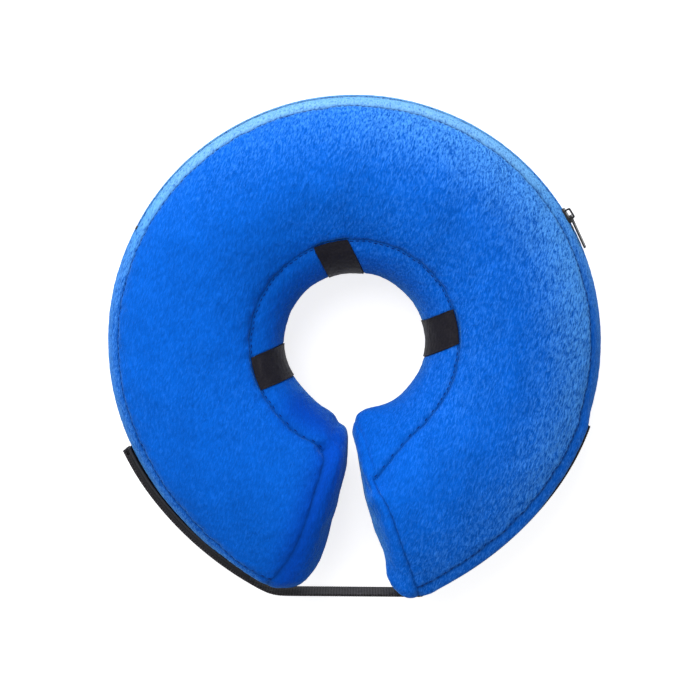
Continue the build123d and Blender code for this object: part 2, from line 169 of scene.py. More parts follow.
# ---- The strap and its patches ----
STRAP_WIDTH = 25.0
STRAP_THICKNESS = 1.5
PATCH_THICKNESS = 1.5
PATCH_GAP = 0.3
STRAP_START = {"left": 115.0, "right": 109.5}
STRAP_OVERRUN = {"left": 5.0, "right": 3.0}
STRAP_END_GAP = 0.4
SQUEEZE_LEAD = 6.0  # degrees ahead of the strap where the right lobe starts to swell beside it
SQUEEZE_HEIGHT = 19.0  # from the strap's middle up and down to the swelling's middle
SQUEEZE_REACH = 6.5
SQUEEZE_RADII = (125.0, 20.0)  # where the swelling starts, and over how much radius it grows
STRAP_CORNER = 13.0  # reach over which the strap's line is rounded between the lobes
STRAP_RIB = 0.12
RIB_PITCH = 1.4
STRIP_ROWS = 30
STRIP_STEP = 0.35
STRIP_THINNING = 0.12  # share of its thickness that a strip loses at its very edge
HOOK_SETBACK = 1.5

# ---- The bladder ----
BLADDER_WALL = 0.5
BLADDER_TOP_GAP = 0.5
BLADDER_SLACK = 0.3
WELD_RADII = (47.0, 144.0)
LENS_POWER = 1.25  # the sheets leave the weld by this power of the sine
BLADDER_TAPER = 0.04  # share that the bladder shrinks by at its ends
BLADDER_GRID = (150, 72)
CREASE_WAVES = (9.0, 21, 14)
CREASE_STRETCH = (1.0, 1.0, 0.2)
CREASE_HEIGHT = 0.25  # at the weld, falling off by an exponential of the sine
HOLLOW_ROOM = 1.5  # the bladder draws back from the cover's hollows by this times their depth

BLEND_HALF = 28.0  # the reach each side of the bending plane that is handed on with each half piece, but not used

# ---- The stage, in metres and watts ----
LIGHTS = {  # place, width and watts
    "key_light": ((-0.65, 0.95, 1.65), 1.6, 32.5),
    "crown_light": ((-0.3, 1.8, 0.5), 1.2, 22.0),
}
WORLD_LIGHT = 0.45
FLOOR_HALF = 4.0
FLOOR_DROP = 0.0002
CAMERA_AIM = (-0.0027, -0.0049, MID * MM)
SENSOR = 36.0  # width of the camera's film in millimetres


# ======== Shapes as functions on grids ========

def arc_through(first, middle, last):
    """The circle through three section points, as centre, radius, first angle and signed sweep.

    Its centre is equally far from all three, and it turns the way that passes the middle one."""
    ax, ay = first
    bx, by = middle
    cx, cy = last
    d = 2 * (ax * (by - cy) + bx * (cy - ay) + cx * (ay - by))
    ux = ((ax**2 + ay**2) * (by - cy) + (bx**2 + by**2) * (cy - ay) + (cx**2 + cy**2) * (ay - by)) / d
    uy = ((ax**2 + ay**2) * (cx - bx) + (bx**2 + by**2) * (ax - cx) + (cx**2 + cy**2) * (bx - ax)) / d
    start = math.atan2(ay - uy, ax - ux)
    half = (math.atan2(by - uy, bx - ux) - start + math.pi) % (2 * math.pi) - math.pi
    whole = (math.atan2(cy - uy, cx - ux) - start) % (2 * math.pi)
    sweep = whole if half > 0 else whole - 2 * math.pi
    return (ux, uy), math.hypot(ax - ux, ay - uy), start, sweep


INNER_FRONT = (INNER_SEAM[0], HEIGHT - INNER_SEAM[1])
OUTER_FRONT = (OUTER_SEAM[0], HEIGHT - OUTER_SEAM[1])
OUTER_BACK = (OUTER_SEAM[0], OUTER_SEAM[1])
INNER_BACK = (INNER_SEAM[0], INNER_SEAM[1])
SIDES_OF_SECTION = (
    arc_through(INNER_BACK, (NECK_RADIUS, MID), INNER_FRONT),
    arc_through(INNER_FRONT, (PANEL_CROWN_RADIUS, HEIGHT), OUTER_FRONT),
    arc_through(OUTER_FRONT, (RIM_RADIUS, MID), OUTER_BACK),
    arc_through(OUTER_BACK, (PANEL_CROWN_RADIUS, -REST_FLAT_DEPTH), INNER_BACK),
)
NECK, FRONT, RIM, BACK = range(4)
STITCH_ROWS = {"inner": (FRONT, 0.9), "outer": (RIM, 1.0)}  # the seam, and how far before it its row lies
STITCH_SECTION = (0.5, 0.42)
STITCH_LIFT = 0.02
ROW_HALF = 0.004  # half the width of the grid under a row, as a share of its side


def unit(vectors):
    """Vectors scaled to length 1."""
    return vectors / np.linalg.norm(vectors, axis=-1, keepdims=True)


def safe_unit(vectors):
    """Vectors scaled to length 1, or left at nothing where they have no length."""
    return vectors / np.maximum(np.linalg.norm(vectors, axis=-1, keepdims=True), 1e-12)


def raised(plan, height):
    """Points in space from points in plan and their heights."""
    return np.concatenate([plan, np.broadcast_to(height, plan.shape[:-1])[..., None]], -1)


def bell(points, place_at, radius):
    """1 at a place, falling to nothing about it as the exponential of the squared distance."""
    return np.exp(-np.sum((points - place_at) ** 2, -1) / radius**2)


def section_point(way):
    """Section radius and height at a way round it: whole steps are seams, and each side is an arc."""
    way = np.asarray(way, float)
    side = np.clip(np.floor(way), 0, 3).astype(int)
    x, y, radius, start, sweep = np.moveaxis(np.array([[*c, r, a, s] for c, r, a, s in SIDES_OF_SECTION])[side], -1, 0)
    angle = start + sweep * (way - side)
    return x + radius * np.cos(angle), y + radius * np.sin(angle)


def side_length(side):
    """Length of one side of the section: its arc's radius times its sweep."""
    return SIDES_OF_SECTION[side][1] * abs(SIDES_OF_SECTION[side][3])


def rim_way(height):
    """Way round the section at a height on the rim: the angle whose sine is the height above the arc's centre
    over its radius, as a share of its sweep."""
    centre, radius, start, sweep = SIDES_OF_SECTION[RIM]
    angle = np.arcsin((np.asarray(height, float) - centre[1]) / radius)
    return RIM + (angle - start) / sweep


def heading(angle):
    """Unit vectors in plan at angles in radians."""
    return np.stack([np.cos(angle), np.sin(angle)], -1)


def turning_centre(side, turn):
    """The centre that the ring turns about, and how far behind the neck axis it lies: the axis itself, and
    past the start of the flare a point moved back from it."""
    flare = heading(np.radians(90 + LOBES[side]["sign"] * FLARE_TURN)) * -FLARE_SHIFT
    flared = turn > FLARE_TURN
    return np.where(flared[..., None], flare, 0.0), np.where(flared, FLARE_SHIFT, 0.0)


def place(side, station, radius, height):
    """Points in space of section points at stations along one half of the ring.

    Stations 0 to 1 go from the crown to the end seam: about the neck axis, then about the flare's own
    centre. Stations 1 to 2 go over the end wall: the section shrinks to its centre as its plane fans out,
    and the two follow a superellipse."""
    lobe = LOBES[side]
    station, radius, height = np.broadcast_arrays(station, radius, height)
    turn = np.minimum(station, 1) * lobe["end"]
    lap = np.clip(station - 1, 0, 1) ** CAP_PITCH * (math.pi / 2)
    shrink = np.clip(np.cos(lap), 0, 1) ** (2 / lobe["square"])
    fan = np.sin(lap) ** (2 / lobe["square"])
    radius = SECTION_CENTRE[0] + (radius - SECTION_CENTRE[0]) * shrink
    height = SECTION_CENTRE[1] + (height - SECTION_CENTRE[1]) * shrink
    angle = np.radians(90 + lobe["sign"] * turn)
    centre, shift = turning_centre(side, turn)
    fanned = angle + lobe["sign"] * np.radians(fan * lobe["fan"])
    plan = centre + heading(angle) * (shift + lobe["fan_radius"])[..., None]
    return raised(plan + heading(fanned) * (radius - lobe["fan_radius"])[..., None], height)


def edge_station(side, way):
    """Station of the end seam at a way round the section: its fan rises in a straight line across the panels and
    bows by a power of a sine, and the superellipse turned round gives the station."""
    low, rise, bow = LOBES[side]["edge"]
    way = np.asarray(way, float)
    share = np.clip(np.where(way < 2.5, way - 1, 4 - way), 0, 1)
    fan = low + rise * share + bow * np.sin(math.pi * share) ** 0.6
    lap = np.arcsin(np.clip(fan, 0, 1) ** (LOBES[side]["square"] / 2))
    return 1 + (lap / (math.pi / 2)) ** (1 / CAP_PITCH)


def waves(points, length, seed, count):
    """Smooth noise: a sum of plane waves with seeded directions, lengths and phases."""
    random = np.random.default_rng(seed)
    directions = random.normal(size=(count, 3))
    directions /= np.linalg.norm(directions, axis=1, keepdims=True)
    numbers = 2 * math.pi / (length * random.uniform(0.7, 1.5, count))
    phases = random.uniform(0, 2 * math.pi, count)
    total = np.zeros(points.shape[:-1])
    for direction, number, phase in zip(directions, numbers, phases):
        total += np.sin(points @ direction * number + phase)
    return total / math.sqrt(count)


def grid_normals(points):
    """Unit normals of a grid of points, from the cross product of its two differences."""
    return safe_unit(np.cross(np.gradient(points, axis=0), np.gradient(points, axis=1)))


def outward(points, normals, centres):
    """Normals turned to point away from the section's centre."""
    return normals * np.where(np.sum((points - centres) * normals, -1, keepdims=True) < 0, -1, 1)


def smooth(value, start=0.0, width=1.0):
    """0 below a start, 1 from a width above it, and an S-curve between."""
    value = np.clip((value - start) / width, 0, 1)
    return value * value * (3 - 2 * value)


def loop_dent(points):
    """How deep the neck loops press into the plush: below each strip of webbing, an S-curve over the distance
    from its middle line, and one over the radius that ends it at the inner seam."""
    dent = np.zeros(points.shape[:-1])
    plan = points[..., :2]
    inside = smooth(-np.linalg.norm(plan, axis=-1), -INNER_SEAM[0] - 3, 5)
    for polar, skew in LOOPS.values():
        middle = heading(np.radians(polar)) * (NECK_RADIUS + INNER_SEAM[0]) / 2
        along = heading(np.radians(polar + skew))
        aside = np.abs((plan - middle) @ np.array([-along[1], along[0]]))
        dent += smooth(plan @ along, 0, 10) * smooth(-aside, -LOOP_WIDTH / 2 - LOOP_SOFT, 2 * LOOP_SOFT)
    return LOOP_DENT * dent * inside


def strap_squeeze(side, points, stations):
    """How far the right lobe swells above and below its strap: a bell over the height, times S-curves that
    start a little ahead of the strap and near the rim."""
    if side == "left":
        return 0.0
    turn = np.minimum(stations, 1) * LOBES[side]["end"]
    held = smooth(turn, STRAP_START["right"] - SQUEEZE_LEAD, 7) * (1 + 0.3 * smooth(turn, 124, 10))
    above = (np.abs(points[..., 2] - MID) - SQUEEZE_HEIGHT) / SQUEEZE_REACH
    outer = smooth(np.linalg.norm(points[..., :2], axis=-1), *SQUEEZE_RADII)
    return bpy.context.scene.collar_plush.strap_swell / MM * held * outer * np.exp(-(above**2))


def cloth_offset(side, points, stations, seam_distance, calm):
    """How far the plush stands out from its plain form: drawn in at each seam by an exponential of the
    distance, then swollen, crumpled, puckered and tufted by waves of falling length, and squeezed by the strap
    and the loops.

    Calm scales the swell and the creases, and is the same for all pieces at their common seams."""
    look = bpy.context.scene.collar_plush
    calm = calm + (SEAM_CALM - calm) * np.exp(-seam_distance / CALM_REACH)
    drawn = -look.seam_depth / MM * np.exp(-seam_distance / DRAW_REACH)
    swell = look.swell / MM * waves(points, *SWELL_WAVES) * (1 - np.exp(-seam_distance / SWELL_REACH))
    crumple = look.crumple / MM * waves(points, *CRUMPLE_WAVES)
    pucker = look.pucker / MM * waves(points, *PUCKER_WAVES) * np.exp(-seam_distance / PUCKER_REACH)
    tufts = look.tufts / MM * waves(points * TUFT_STRETCH, *TUFT_WAVES)
    held = strap_squeeze(side, points, stations) - loop_dent(points)
    return drawn + calm * (swell + crumple + pucker) + tufts + held


def hump_height(side, points):
    """Sum of the smooth bell-shaped humps and hollows of one lobe."""
    return sum(height * bell(points, place_at, radius) for *place_at, radius, height in HUMPS[side])


def pull(side, points):
    """Plan shift that draws the front panel's inner corner along the slit: a bell about its place."""
    *place_at, radius, aside, along = PULLS[side]
    return bell(points, place_at, radius)[..., None] * np.array([aside, along, 0.0])


class Patch:
    """One sewn piece of the cover: a grid over stations and ways, with the cloth's offset on it.

    The offset goes along the plain form's normal, and beside seams straight away from the section's centre,
    so that pieces meet there. Humps, the rounded corner and the pull are added to it, and it stops at the
    floor."""

    def __init__(self, side, ways, stations, seams, calm=1.0):
        self.side = side
        radius, height = section_point(ways)
        plain = self.plain = place(side, stations, radius, height)
        centres = place(side, np.minimum(stations, CORE_STATION), *SECTION_CENTRE)
        normals = outward(plain, grid_normals(plain), centres)
        self.reach = SECTION_CENTRE[0] + (radius - SECTION_CENTRE[0]) * np.clip(2 - stations, 0, 1)
        self.beside = np.clip(np.minimum(ways, 1 - ways), 0, None) * side_length(NECK)
        self.edge_run = self.run_to_edge(ways, stations, radius)
        distance = np.hypot(self.edge_run, self.beside)
        for seam in seams:
            distance = np.minimum(distance, np.abs(ways - seam) * side_length(int(ways.mean())))
        self.seam_distance = distance
        away = unit(plain - centres)
        near_seam = np.exp(-distance / SEAM_SIDE_REACH)[..., None]
        toward = unit(normals * (1 - near_seam) + away * near_seam)
        self.points = plain + toward * cloth_offset(side, plain, stations, distance, calm)[..., None]
        self.points = self.points + away * hump_height(side, plain)[..., None]
        self.points = self.points - self.corner_draw(side, ways, away) + pull(side, plain)
        self.points[..., 2] = np.maximum(self.points[..., 2], 0.0)
        self.normals = outward(self.points, grid_normals(self.points), centres)

    def corner_draw(self, side, ways, away):
        """How far the corner between neck band and end wall is rounded off: a bell over the distance to the
        corner, along the band's own outward way before it and along the ring after it."""
        lobe = LOBES[side]
        angle = math.radians(90 + lobe["sign"] * lobe["end"])
        onward = lobe["sign"] * np.array([-math.sin(angle), math.cos(angle), 0.0])
        corner = place(side, edge_station(side, ways), *section_point(ways))
        gap = np.linalg.norm(self.plain - corner, axis=-1) * np.sign(self.edge_run)
        depth = CORNER_DRAW[side] * np.exp(-((gap / CORNER_REACH) ** 2)) * (ways < 1)
        depth = depth * smooth(self.beside, 0, CORNER_START)
        share = smooth(gap, -2 * CORNER_REACH, 4 * CORNER_REACH)[..., None]
        return depth[..., None] * (away * share + onward * (1 - share))

    def run_to_edge(self, ways, stations, radius):
        """Length along the cloth to the end wall's edge, which is a seam everywhere but at the neck band."""
        edge = edge_station(self.side, ways)
        scale = np.radians(LOBES[self.side]["end"]) * radius
        ring = (np.minimum(edge, 1) - np.minimum(stations, 1)) * scale
        return ring + (np.maximum(edge, 1) - np.maximum(stations, 1)) * CAP_SCALE

    def cropped(self, columns, rows=slice(None)):
        """Drops the columns and rows that were only there for the normals across a border."""
        for name in ("seam_distance", "reach", "plain", "points", "normals"):
            setattr(self, name, getattr(self, name)[columns, rows])
        return self


def ring_patch(side, first_way, last_way, columns, rows, seams, calm=1.0, tuck=0.0):
    """A cover piece that runs from the crown's middle to the end seam, between two ways.

    Its columns are evenly spaced along the cloth at the ring's mean radius. With a tuck, one more column goes
    on below the end wall's edge, at that depth."""
    share = np.linspace(0, 1, rows)[None, :]
    step = np.linspace(0, 1, columns)[:, None]
    first, last = (np.broadcast_to(way, (columns,))[:, None] for way in (first_way, last_way))
    ways = first * (1 - share) + last * share
    length = np.radians(LOBES[side]["end"]) * RING_SCALE
    whole = length + (edge_station(side, ways[-1:]) - 1) * CAP_SCALE
    run = np.concatenate([[[-1.0 / columns]], step, [[1 + 1.0 / columns]]]) * whole
    stations = np.where(run < length, run / length, 1 + (run - length) / CAP_SCALE)
    ways = np.concatenate([ways[:1], ways, ways[-1:]])
    patch = Patch(side, ways, stations, seams, calm)
    if not tuck:
        return patch.cropped(slice(1, -1))
    patch.points[-1] -= patch.normals[-1] * tuck
    return patch.cropped(slice(1, None))


def end_patch(side):
    """The end wall: a grid round the section, from the end seam to the wall's middle, calmest at the seam."""
    around, rows, calm = COVER["end_wall"]
    ways = np.linspace(0, 4, around, endpoint=False)[:, None] * np.ones((1, rows + 1))
    edge = edge_station(side, ways)
    share = np.concatenate([[-0.5 / rows], np.linspace(0, LAST_RING, rows)])[None, :]
    stations = edge + (2 - edge) * share
    ways = np.concatenate([ways[-2:], ways, ways[:2]])
    stations = np.concatenate([stations[-2:], stations, stations[:2]])
    patch = Patch(side, ways, stations, (), calm + WALL_SWELL * share.clip(0))
    return patch.cropped(slice(2, -2), slice(1, None))


# ======== Meshes from grids ========

def linked(name, data):
    """A new object that shows the data, in the scene."""
    piece = bpy.data.objects.new(name, data)
    bpy.context.scene.collection.objects.link(piece)
    return piece


def mesh_object(name, vertices, faces, loop_normals, attributes=None):
    """A mesh object from arrays in metres, with its own corner normals and float attributes."""
    mesh = bpy.data.meshes.new(name)
    corners = np.concatenate([block.ravel() for block in faces]).astype(np.int32)
    sizes = np.concatenate([np.full(len(block), block.shape[1]) for block in faces]).astype(np.int32)
    starts = np.concatenate([[0], np.cumsum(sizes)[:-1]]).astype(np.int32)
    mesh.vertices.add(len(vertices))
    mesh.vertices.foreach_set("co", np.ascontiguousarray(vertices, np.float32).ravel())
    mesh.loops.add(len(corners))
    mesh.loops.foreach_set("vertex_index", corners)
    mesh.polygons.add(len(sizes))
    mesh.polygons.foreach_set("loop_start", starts)
    mesh.polygons.foreach_set("use_smooth", np.ones(len(sizes), bool))
    mesh.update(calc_edges=True)
    mesh.validate()
    for key, values in (attributes or {}).items():
        layer = mesh.attributes.new(key, "FLOAT", "POINT")
        layer.data.foreach_set("value", np.ascontiguousarray(values, np.float32).ravel())
    if loop_normals is not None:
        mesh.normals_split_custom_set(loop_normals.astype(np.float32))
    return linked(name, mesh)


def face_normals(vertices, quads):
    """Flat normals of quads, from the cross product of their diagonals."""
    a, b, c, d = (vertices[quads[:, i]] for i in range(4))
    return safe_unit(np.cross(c - a, d - b))


def grid_quads(index):
    """The quads of a grid of vertex numbers."""
    return np.stack([index[:-1, :-1], index[1:, :-1], index[1:, 1:], index[:-1, 1:]], -1).reshape(-1, 4)


def shell(name, outer, normals, thickness, wrap=False, poles=None, attributes=None):
    """A closed solid between a grid and the same grid moved inwards by a thickness, in millimetres.

    The grid's quads face outwards, its copy's face inwards, and quads join the two along each open
    border. With wrap the first direction closes on itself. Poles are the two points that close the last
    ring of a wrapped grid, each with a fan of triangles."""
    count = outer.shape[0] * outer.shape[1]
    inner = outer - normals * thickness
    inner[..., 2] = np.maximum(inner[..., 2], 0.0)
    index = np.arange(count).reshape(outer.shape[:2])
    if wrap:
        index = np.concatenate([index, index[:1]])
    borders = [(index[1:, 0], index[:-1, 0])]
    if poles is None:
        borders.append((index[:-1, -1], index[1:, -1]))
    if not wrap:
        borders += [(index[-1, 1:], index[-1, :-1]), (index[0, :-1], index[0, 1:])]
    near, far = (np.concatenate(ends) for ends in zip(*borders))
    quads = grid_quads(index)
    blocks = [quads, quads[:, ::-1] + count, np.stack([near, far, far + count, near + count], -1)]
    vertices = np.concatenate([outer.reshape(-1, 3), inner.reshape(-1, 3)])
    vertex_normals = np.concatenate([normals.reshape(-1, 3), -normals.reshape(-1, 3)])
    extra = {key: np.tile(value.ravel(), 2) for key, value in (attributes or {}).items()}
    if poles is not None:
        now, following = index[:-1, -1], index[1:, -1]
        tip = np.full(len(now), 2 * count)
        blocks += [np.stack([now, following, tip], -1), np.stack([following + count, now + count, tip + 1], -1)]
        vertices = np.concatenate([vertices, poles])
        pole_normal = unit(normals[:, -1].mean(0))
        vertex_normals = np.concatenate([vertex_normals, [pole_normal, -pole_normal]])
        extra = {key: np.concatenate([value, value[-2:]]) for key, value in extra.items()}
    if np.median(np.sum(face_normals(vertices, quads) * vertex_normals[quads[:, 0]], -1)) < 0:
        blocks = [block[:, ::-1] for block in blocks]
    corner_normals = [vertex_normals[block].reshape(-1, 3) for block in blocks]
    corner_normals[2] = np.repeat(face_normals(vertices, blocks[2]), 4, axis=0)
    return mesh_object(name, vertices * MM, blocks, np.concatenate(corner_normals), extra)


def powered(values, power):
    """Values raised to a power with their signs kept."""
    return np.sign(values) * np.abs(values) ** power


def repeated(name, centres, along, up, size, ring, rows, power=2.0):
    """Many small rounded bars in one mesh: superellipsoids stretched along their own directions.

    Size is the length along, the width across and the thickness, in millimetres."""
    around = np.linspace(0, 2 * math.pi, ring, endpoint=False)[None, :]
    tilt = np.linspace(-math.pi / 2, math.pi / 2, rows)[:, None]
    x, y, z, level = (powered(wave, 2 / power) for wave in (np.sin(tilt), np.cos(around), np.sin(around), np.cos(tilt)))
    shape = np.stack(np.broadcast_arrays(x, level * y, level * z), -1).reshape(-1, 3) * size / 2
    axes = np.stack([along, np.cross(up, along), up], 1)
    vertices = centres[:, None, :] + np.einsum("vk,nkc->nvc", shape, axes)
    index = np.arange(rows * ring).reshape(rows, ring)
    quads = np.roll(grid_quads(np.concatenate([index, index[:, :1]], 1)), -1, axis=1)
    offsets = np.arange(len(centres))[:, None, None] * (rows * ring)
    faces = (quads[None] + offsets).reshape(-1, 4)
    piece = mesh_object(name, vertices.reshape(-1, 3) * MM, [faces], None)
    weld = piece.modifiers.new("weld", "WELD")
    weld.merge_threshold = 1e-6
    return piece


# ======== Shaders ========

def feed(slot, value):
    """Gives a shader's input a number or colour, or a link from a Value or an output."""
    if isinstance(value, Value):
        value = value.socket
    if isinstance(value, bpy.types.NodeSocket):
        slot.id_data.links.new(value, slot)
    else:
        slot.default_value = value


class Value:
    """A number in a shader. Python operators on it add Math nodes."""

    def __init__(self, socket):
        self.socket = socket

    def math(self, operation, *others, first=None):
        """A Math node on this value and the others, or on the first and then the others."""
        node = self.socket.id_data.nodes.new("ShaderNodeMath")
        node.operation = operation
        for slot, term in zip(node.inputs, [self if first is None else first, *others]):
            feed(slot, term)
        return Value(node.outputs[0])

    def __add__(self, other):
        return self.math("ADD", other)

    def __sub__(self, other):
        return self.math("SUBTRACT", other)

    def __rsub__(self, other):
        return self.math("SUBTRACT", self, first=other)

    def __mul__(self, other):
        return self.math("MULTIPLY", other)

    __radd__ = __add__
    __rmul__ = __mul__

    def clamped(self):
        """The value kept between 0 and 1."""
        return self.math("MAXIMUM", 0.0).math("MINIMUM", 1.0)

    def sine(self):
        """The sine of the value."""
        return self.math("SINE")


class Finish:
    """A procedural material under construction, built round one Principled shader."""

    def __init__(self, name):
        self.material = bpy.data.materials.new(name)
        self.material.use_nodes = True
        self.tree = self.material.node_tree
        self.tree.nodes.clear()
        output = self.node("ShaderNodeOutputMaterial")
        self.surface = self.node("ShaderNodeBsdfPrincipled")
        feed(output.inputs["Surface"], self.surface.outputs[0])
        self.coordinates = self.node("ShaderNodeTexCoord").outputs["Object"]

    def node(self, kind, settings=None, **sockets):
        """A node of a type, with its settings set first and then its sockets' values or links."""
        node = self.tree.nodes.new(kind)
        for key, value in (settings or {}).items():
            setattr(node, key, value)
        for key, value in sockets.items():
            feed(node.inputs[key.replace("_", " ")], value)
        return node

    def scaled(self, x, y, z, turn=0.0):
        """Object coordinates turned in plan, then in cycles to a metre along each axis."""
        return self.node(
            "ShaderNodeMapping", {"vector_type": "TEXTURE"}, Vector=self.coordinates,
            Scale=(1 / x, 1 / y, 1 / z), Rotation=(0, 0, turn)).outputs[0]

    def noise(self, cycles, detail=1.0, roughness=0.5, distortion=0.0):
        """Noise between 0 and 1, with one number of cycles to a metre or one for each axis and a turn."""
        vector = self.scaled(*(cycles if isinstance(cycles, tuple) else (cycles,) * 3))
        node = self.node(
            "ShaderNodeTexNoise", Vector=vector, Scale=1.0, Detail=detail, Roughness=roughness,
            Distortion=distortion)
        return Value(node.outputs[0])

    def attribute(self, name):
        """The measure that a piece's vertices carry under a name."""
        return Value(self.node("ShaderNodeAttribute", {"attribute_name": name}).outputs["Fac"])

    def blend(self, factor, first, second):
        """Colour mixed from two colours or colour sockets by a factor."""
        node = self.node("ShaderNodeMix", {"data_type": "RGBA"}, Factor=factor)
        feed(node.inputs[6], first)
        feed(node.inputs[7], second)
        return node.outputs[2]

    def bump(self, height, distance, strength=1.0):
        """Relief from a height between 0 and 1, over a distance in metres."""
        node = self.node("ShaderNodeBump", Height=height, Distance=distance, Strength=strength)
        feed(self.surface.inputs["Normal"], node.outputs[0])

    def set(self, **sockets):
        """Sets or links sockets of the Principled shader, and gives the material."""
        for key, value in sockets.items():
            feed(self.surface.inputs[key.replace("_", " ")], value)
        return self.material


def linear(colour):
    """A colour picked in sRGB, as the shader's linear colour with alpha."""
    colour = np.asarray(colour[:3], float)
    value = np.where(colour <= 0.04045, colour / 12.92, ((colour + 0.055) / 1.055) ** 2.4)
    return (*value, 1.0)


def shade(colour, amount):
    """A colour made lighter or darker by a factor."""
    return tuple(min(1.0, channel * amount) for channel in colour[:3]) + (1.0,)


def plush_finish(name):
    """Short pile: fine upright streaks, made paler and coarser by painted sheen towards the crown, the right and the
    rim, with painted shade at the seams and on the left lobe's end.
    """
    look = bpy.context.scene.collar_plush
    finish = Finish(name)
    streak = finish.noise((1150, 300, 700, -0.3), 3.0, 0.66, 0.4)
    grain = finish.noise((2600, 1900, 2600))
    patch = finish.noise((60, 34, 60), 2.0)
    drift = finish.noise((14, 9, 14))
    # brushed and lift carry the painted sheen, as if lit from the crown and the right; the streaks' contrast grows with
    # it.
    brushed = finish.attribute("painted_sheen")
    lift = (brushed + (drift - 0.5) * 0.25).clamped()
    pile = ((streak - 0.5) * 1.5 + (grain - 0.5) * 0.6) * (lift * 1.6 + 0.8) + (patch - 0.5) * 0.4
    tone = (pile * look.pile_contrast + (drift - 0.5) * 0.3 + 0.5).clamped()
    base = linear(look.colour)
    cloth = finish.blend(tone, shade(base, 0.6), shade(base, 1.4))
    # Painted sheen: the streaks are mixed towards a paler colour where the painted sheen is strong.
    sheen_fleck = ((streak - 0.5 + lift * 0.2) * 4.0).clamped() * (lift * 0.75 + 0.05)
    cloth = finish.blend(sheen_fleck, cloth, linear(look.painted_sheen_colour))
    # Painted highlight: paler still where the painted sheen is strongest, along the rim at the crown.
    painted_highlight = ((brushed - 0.85) * 1.2).clamped() * ((streak - 0.5) * 2.5 + 0.6).clamped()
    cloth = finish.blend(painted_highlight, cloth, linear(look.painted_highlight_colour))
    # Painted shade: the left lobe's end is mixed towards a darker colour, as if out of the light.
    deep = linear(look.painted_shade_colour)
    deep = finish.blend(tone, shade(deep, 0.7), shade(deep, 1.3))
    cloth = finish.blend((finish.attribute("painted_shade") * 0.85).clamped(), cloth, deep)
    cloth = finish.blend((finish.attribute("seam_shade") * 0.65).clamped(), cloth, shade(base, 0.25))
    finish.bump(streak * 0.7 + grain * 0.3, 0.0012, 0.6)
    return finish.set(
        Base_Color=cloth, Roughness=0.85, Sheen_Weight=look.sheen, Sheen_Roughness=0.3,
        Sheen_Tint=linear(look.sheen_tint), Specular_IOR_Level=0.05)


def webbing_finish(name, colour, speckle, pitch, gloss):
    """Woven webbing: ribs from the piece's own measures along and across, with paler worn threads."""
    finish = Finish(name)
    along, across = finish.attribute("along"), finish.attribute("across")
    warp = (across * (2 * math.pi / (pitch * 0.8))).sine()
    weft = (along * (2 * math.pi / pitch)).sine()
    weave = (warp * weft * 0.5 + 0.5).clamped()
    wear = finish.noise(900, 2.0, 0.7)
    thread = finish.noise(2800)
    rib = (weft * 0.5 + 0.5) * (warp * 0.2 + 0.8)
    lit = (rib * 0.8 + (wear - 0.5) * 1.6 + (thread - 0.5) * 0.8 - 0.1).clamped() * speckle
    finish.bump(weave + thread * 0.3, 0.00035, 0.7)
    cloth = finish.blend(lit, shade(linear(colour), 0.55), linear((0.42, 0.40, 0.42)))
    return finish.set(Base_Color=cloth, Roughness=gloss, Specular_IOR_Level=0.15)


def painted_metal_finish(name):
    """Black lacquered zinc with grey metal showing through in small worn places."""
    finish = Finish(name)
    mask = ((finish.noise(700, 3.0, 0.65) - 0.7) * 9.0).clamped()
    grain = finish.noise(4000)
    colour = finish.blend(mask, linear((0.025, 0.028, 0.035)), linear((0.30, 0.31, 0.33)))
    finish.bump(grain - mask, 0.00006, 0.5)
    return finish.set(
        Base_Color=colour, Metallic=mask * 0.7, Roughness=0.42 + mask * -0.08, Specular_IOR_Level=0.35)


def grained_finish(name, noise, bump, dark, light, roughness, uneven=0.0, **shine):
    """One field of grain that raises the surface, mixes two colours and, where uneven, adds to the
    roughness by its share."""
    finish = Finish(name)
    grain = finish.noise(*noise)
    finish.bump(grain, *bump)
    finish.set(Base_Color=finish.blend(grain, dark, light), **shine)
    return finish.set(Roughness=roughness + grain * uneven if uneven else roughness)


def thread_finish(name):
    """Twisted sewing thread, a shade darker than the plush."""
    base = linear(bpy.context.scene.collar_plush.thread_colour)
    return grained_finish(name, (3000,), (0.0002, 0.5), shade(base, 0.6), shade(base, 1.5), 0.8, Specular_IOR_Level=0.1)


def pile_patch_finish(name, cycles, distance):
    """Hook or loop tape: a field of tiny dark bristles."""
    return grained_finish(
        name, (cycles, 2.0, 0.7), (distance,), linear((0.02, 0.02, 0.03)), linear((0.12, 0.12, 0.14)), 0.8)


def clear_vinyl_finish(name):
    """Milky translucent vinyl sheet with faint creases."""
    return grained_finish(
        name, (70, 3.0, 0.6), (0.001, 0.4), linear((0.78, 0.82, 0.86)), linear((0.9, 0.92, 0.94)), 0.22, 0.15,
        Specular_IOR_Level=0.5)


def moulded_finish(name):
    """Moulded translucent-white plastic with a fine ejector texture."""
    return grained_finish(
        name, (1500, 2.0), (0.00008, 0.4), linear((0.82, 0.85, 0.88)), linear((0.92, 0.94, 0.96)), 0.28, 0.1)


def tape_finish(name):
    """Navy zipper tape with a herringbone of fine ribs."""
    return grained_finish(
        name, ((1800, 1800, 3600),), (0.0002, 0.8), linear((0.02, 0.04, 0.12)), linear((0.05, 0.10, 0.26)), 0.75)


FINISHES = {}


def dress(piece, maker, name, *settings):
    """Gives a piece the finish of a name, which its maker builds once and all its pieces share."""
    if name not in FINISHES:
        FINISHES[name] = maker(name, *settings)
    piece.data.materials.clear()
    piece.data.materials.append(FINISHES[name])
    return piece


# ======== Baking pieces in place, and the measures for the shader ===

